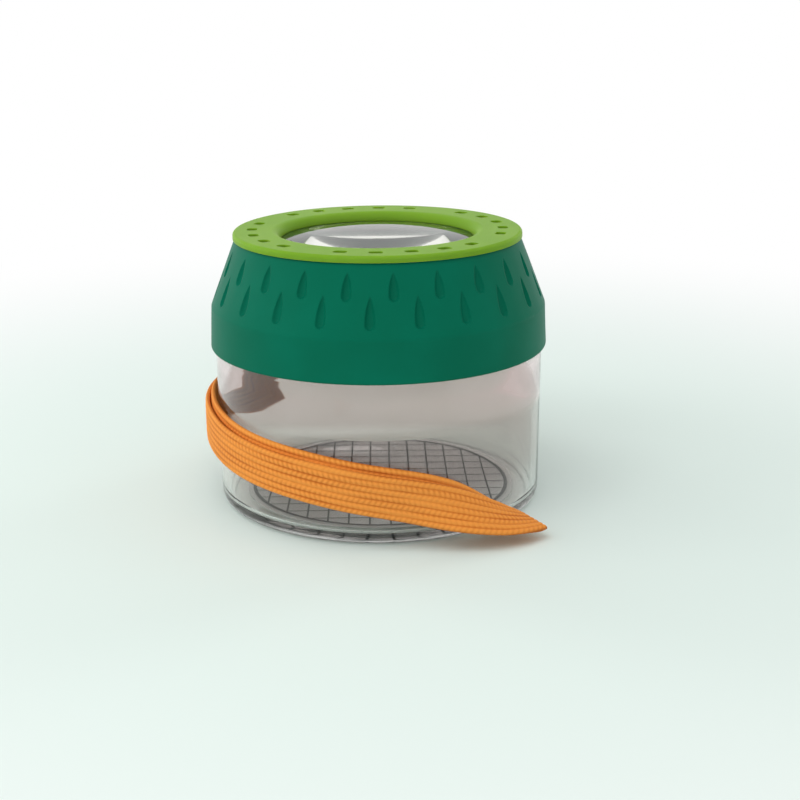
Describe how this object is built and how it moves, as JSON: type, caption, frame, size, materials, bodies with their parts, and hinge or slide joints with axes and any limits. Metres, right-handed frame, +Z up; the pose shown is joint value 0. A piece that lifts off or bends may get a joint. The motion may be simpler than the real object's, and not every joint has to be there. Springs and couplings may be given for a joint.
{
  "type": "bug catcher jar",
  "caption": "Clear round jar for watching insects, with a screw lid that holds a magnifying lens under a vented ring, a lug and a flat carrying strap.",
  "frame": {"origin": "the point where the jar's axis meets the surface that the jar stands on", "axes": "+Z up along the jar's axis; the picture's view comes from -Y with +X to its right, and the strap's lug is at the back, 75 degrees round from +X towards +Y"},
  "size_m": [0.0863, 0.1091, 0.0679],
  "materials": {
    "clear_cup": "clear moulded plastic, polished, with soft moulding waves",
    "grid_print": "clear film with a fine black grid of squares",
    "green_lid": "satin moulded plastic",
    "lime_ring": "satin moulded plastic",
    "clear_lens": "clear polished acrylic",
    "orange_webbing": "flat braided elastic with lengthwise ribs"
  },
  "bodies": {
    "jar": {"jar_cup": "clear_cup", "grid_film": "grid_print"},
    "lens": {"magnifier_lens": "clear_lens"},
    "lid": {"lid_shell": "green_lid", "bezel_ring": "lime_ring", "carry_strap": "orange_webbing"}
  },
  "joints": [
    {"name": "lid_lift", "type": "slide", "parent": "jar", "child": "lens", "axis": [0, 0, 1], "range_m": [0, 0.012]},
    {"name": "lid_turn", "type": "hinge", "parent": "lens", "child": "lid", "pos_m": [0, 0, 0.0395], "axis": [0, 0, 1], "range_deg": [0, 360]}
  ],
  "couplings": [
    {"joint": "lid_lift", "follows": "lid_turn", "m_per_rad": 0.0019}
  ]
}
